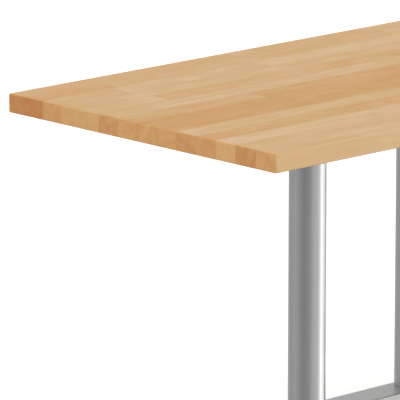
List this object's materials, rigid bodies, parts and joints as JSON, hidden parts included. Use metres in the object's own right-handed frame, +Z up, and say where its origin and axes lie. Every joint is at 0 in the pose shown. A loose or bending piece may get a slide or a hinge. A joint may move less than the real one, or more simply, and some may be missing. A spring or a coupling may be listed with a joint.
{
  "type": "communal table",
  "caption": "Rectangular communal table: laminated butcher-block top on round brushed-steel columns that stand on a low steel beam with cross-feet and screw-adjusted glides.",
  "frame": {"origin": "on the floor under the middle of the table", "axes": "+X along the length of the table, +Y across it, +Z up"},
  "size_m": [1.8288, 0.762, 0.762],
  "materials": {
    "laminated_beech": "satin clear lacquer over light hardwood",
    "brushed_steel": "satin brushed",
    "plate_steel": "matt black powder coat",
    "zinc_hardware": "bright zinc plate",
    "insert_brass": "turned",
    "dark_plastic": "fine matt",
    "glide_nylon": "moulded nylon"
  },
  "bodies": {
    "table": {"stave_01": "laminated_beech", "stave_02": "laminated_beech", "stave_03": "laminated_beech", "stave_04": "laminated_beech", "stave_05": "laminated_beech", "stave_06": "laminated_beech", "stave_07": "laminated_beech", "stave_08": "laminated_beech", "stave_09": "laminated_beech", "stave_10": "laminated_beech", "stave_11": "laminated_beech", "stave_12": "laminated_beech", "stave_13": "laminated_beech", "stave_14": "laminated_beech", "mounting_plate_left": "plate_steel", "mounting_plate_right": "plate_steel", "threaded_inserts": "insert_brass", "plate_bolts": "zinc_hardware", "plate_washers": "zinc_hardware", "column_1": "brushed_steel", "column_2": "brushed_steel", "column_3": "brushed_steel", "column_4": "brushed_steel", "top_locating_ring_1": "zinc_hardware", "top_locating_ring_2": "zinc_hardware", "top_locating_ring_3": "zinc_hardware", "top_locating_ring_4": "zinc_hardware", "bottom_locating_disc_1": "zinc_hardware", "bottom_locating_disc_2": "zinc_hardware", "bottom_locating_disc_3": "zinc_hardware", "bottom_locating_disc_4": "zinc_hardware", "tie_rod_1": "zinc_hardware", "tie_rod_2": "zinc_hardware", "tie_rod_3": "zinc_hardware", "tie_rod_4": "zinc_hardware", "spacer_sleeve_1": "zinc_hardware", "spacer_sleeve_2": "zinc_hardware", "spacer_sleeve_3": "zinc_hardware", "spacer_sleeve_4": "zinc_hardware", "plate_weld_nuts": "zinc_hardware", "tie_rod_washers": "zinc_hardware", "tie_rod_nuts": "zinc_hardware", "base_beam": "brushed_steel", "beam_end_cap_left": "dark_plastic", "beam_end_cap_right": "dark_plastic", "cross_foot_left": "brushed_steel", "cross_foot_right": "brushed_steel", "foot_screws": "zinc_hardware", "rivet_nuts": "zinc_hardware", "glide_lock_nuts": "zinc_hardware"},
    "glide_1_foot": {"glide_pad_1": "glide_nylon"},
    "glide_1_screw": {"glide_stem_1": "zinc_hardware"},
    "glide_2_foot": {"glide_pad_2": "glide_nylon"},
    "glide_2_screw": {"glide_stem_2": "zinc_hardware"},
    "glide_3_foot": {"glide_pad_3": "glide_nylon"},
    "glide_3_screw": {"glide_stem_3": "zinc_hardware"},
    "glide_4_foot": {"glide_pad_4": "glide_nylon"},
    "glide_4_screw": {"glide_stem_4": "zinc_hardware"}
  },
  "joints": [
    {"name": "glide_1_height", "type": "slide", "parent": "table", "child": "glide_1_foot", "axis": [0, 0, -1], "range_m": [0, 0.0065]},
    {"name": "glide_1_turn", "type": "hinge", "parent": "glide_1_foot", "child": "glide_1_screw", "pos_m": [-0.4572, -0.2921, 0.012], "axis": [0, 0, -1], "range_deg": [0, 1360]},
    {"name": "glide_2_height", "type": "slide", "parent": "table", "child": "glide_2_foot", "axis": [0, 0, -1], "range_m": [0, 0.0065]},
    {"name": "glide_2_turn", "type": "hinge", "parent": "glide_2_foot", "child": "glide_2_screw", "pos_m": [-0.4572, 0.2921, 0.012], "axis": [0, 0, -1], "range_deg": [0, 1360]},
    {"name": "glide_3_height", "type": "slide", "parent": "table", "child": "glide_3_foot", "axis": [0, 0, -1], "range_m": [0, 0.0065]},
    {"name": "glide_3_turn", "type": "hinge", "parent": "glide_3_foot", "child": "glide_3_screw", "pos_m": [0.4572, -0.2921, 0.012], "axis": [0, 0, -1], "range_deg": [0, 1360]},
    {"name": "glide_4_height", "type": "slide", "parent": "table", "child": "glide_4_foot", "axis": [0, 0, -1], "range_m": [0, 0.0065]},
    {"name": "glide_4_turn", "type": "hinge", "parent": "glide_4_foot", "child": "glide_4_screw", "pos_m": [0.4572, 0.2921, 0.012], "axis": [0, 0, -1], "range_deg": [0, 1360]}
  ],
  "couplings": [
    {"joint": "glide_1_height", "follows": "glide_1_turn", "m_per_rad": 0.00025266},
    {"joint": "glide_2_height", "follows": "glide_2_turn", "m_per_rad": 0.00025266},
    {"joint": "glide_3_height", "follows": "glide_3_turn", "m_per_rad": 0.00025266},
    {"joint": "glide_4_height", "follows": "glide_4_turn", "m_per_rad": 0.00025266}
  ]
}
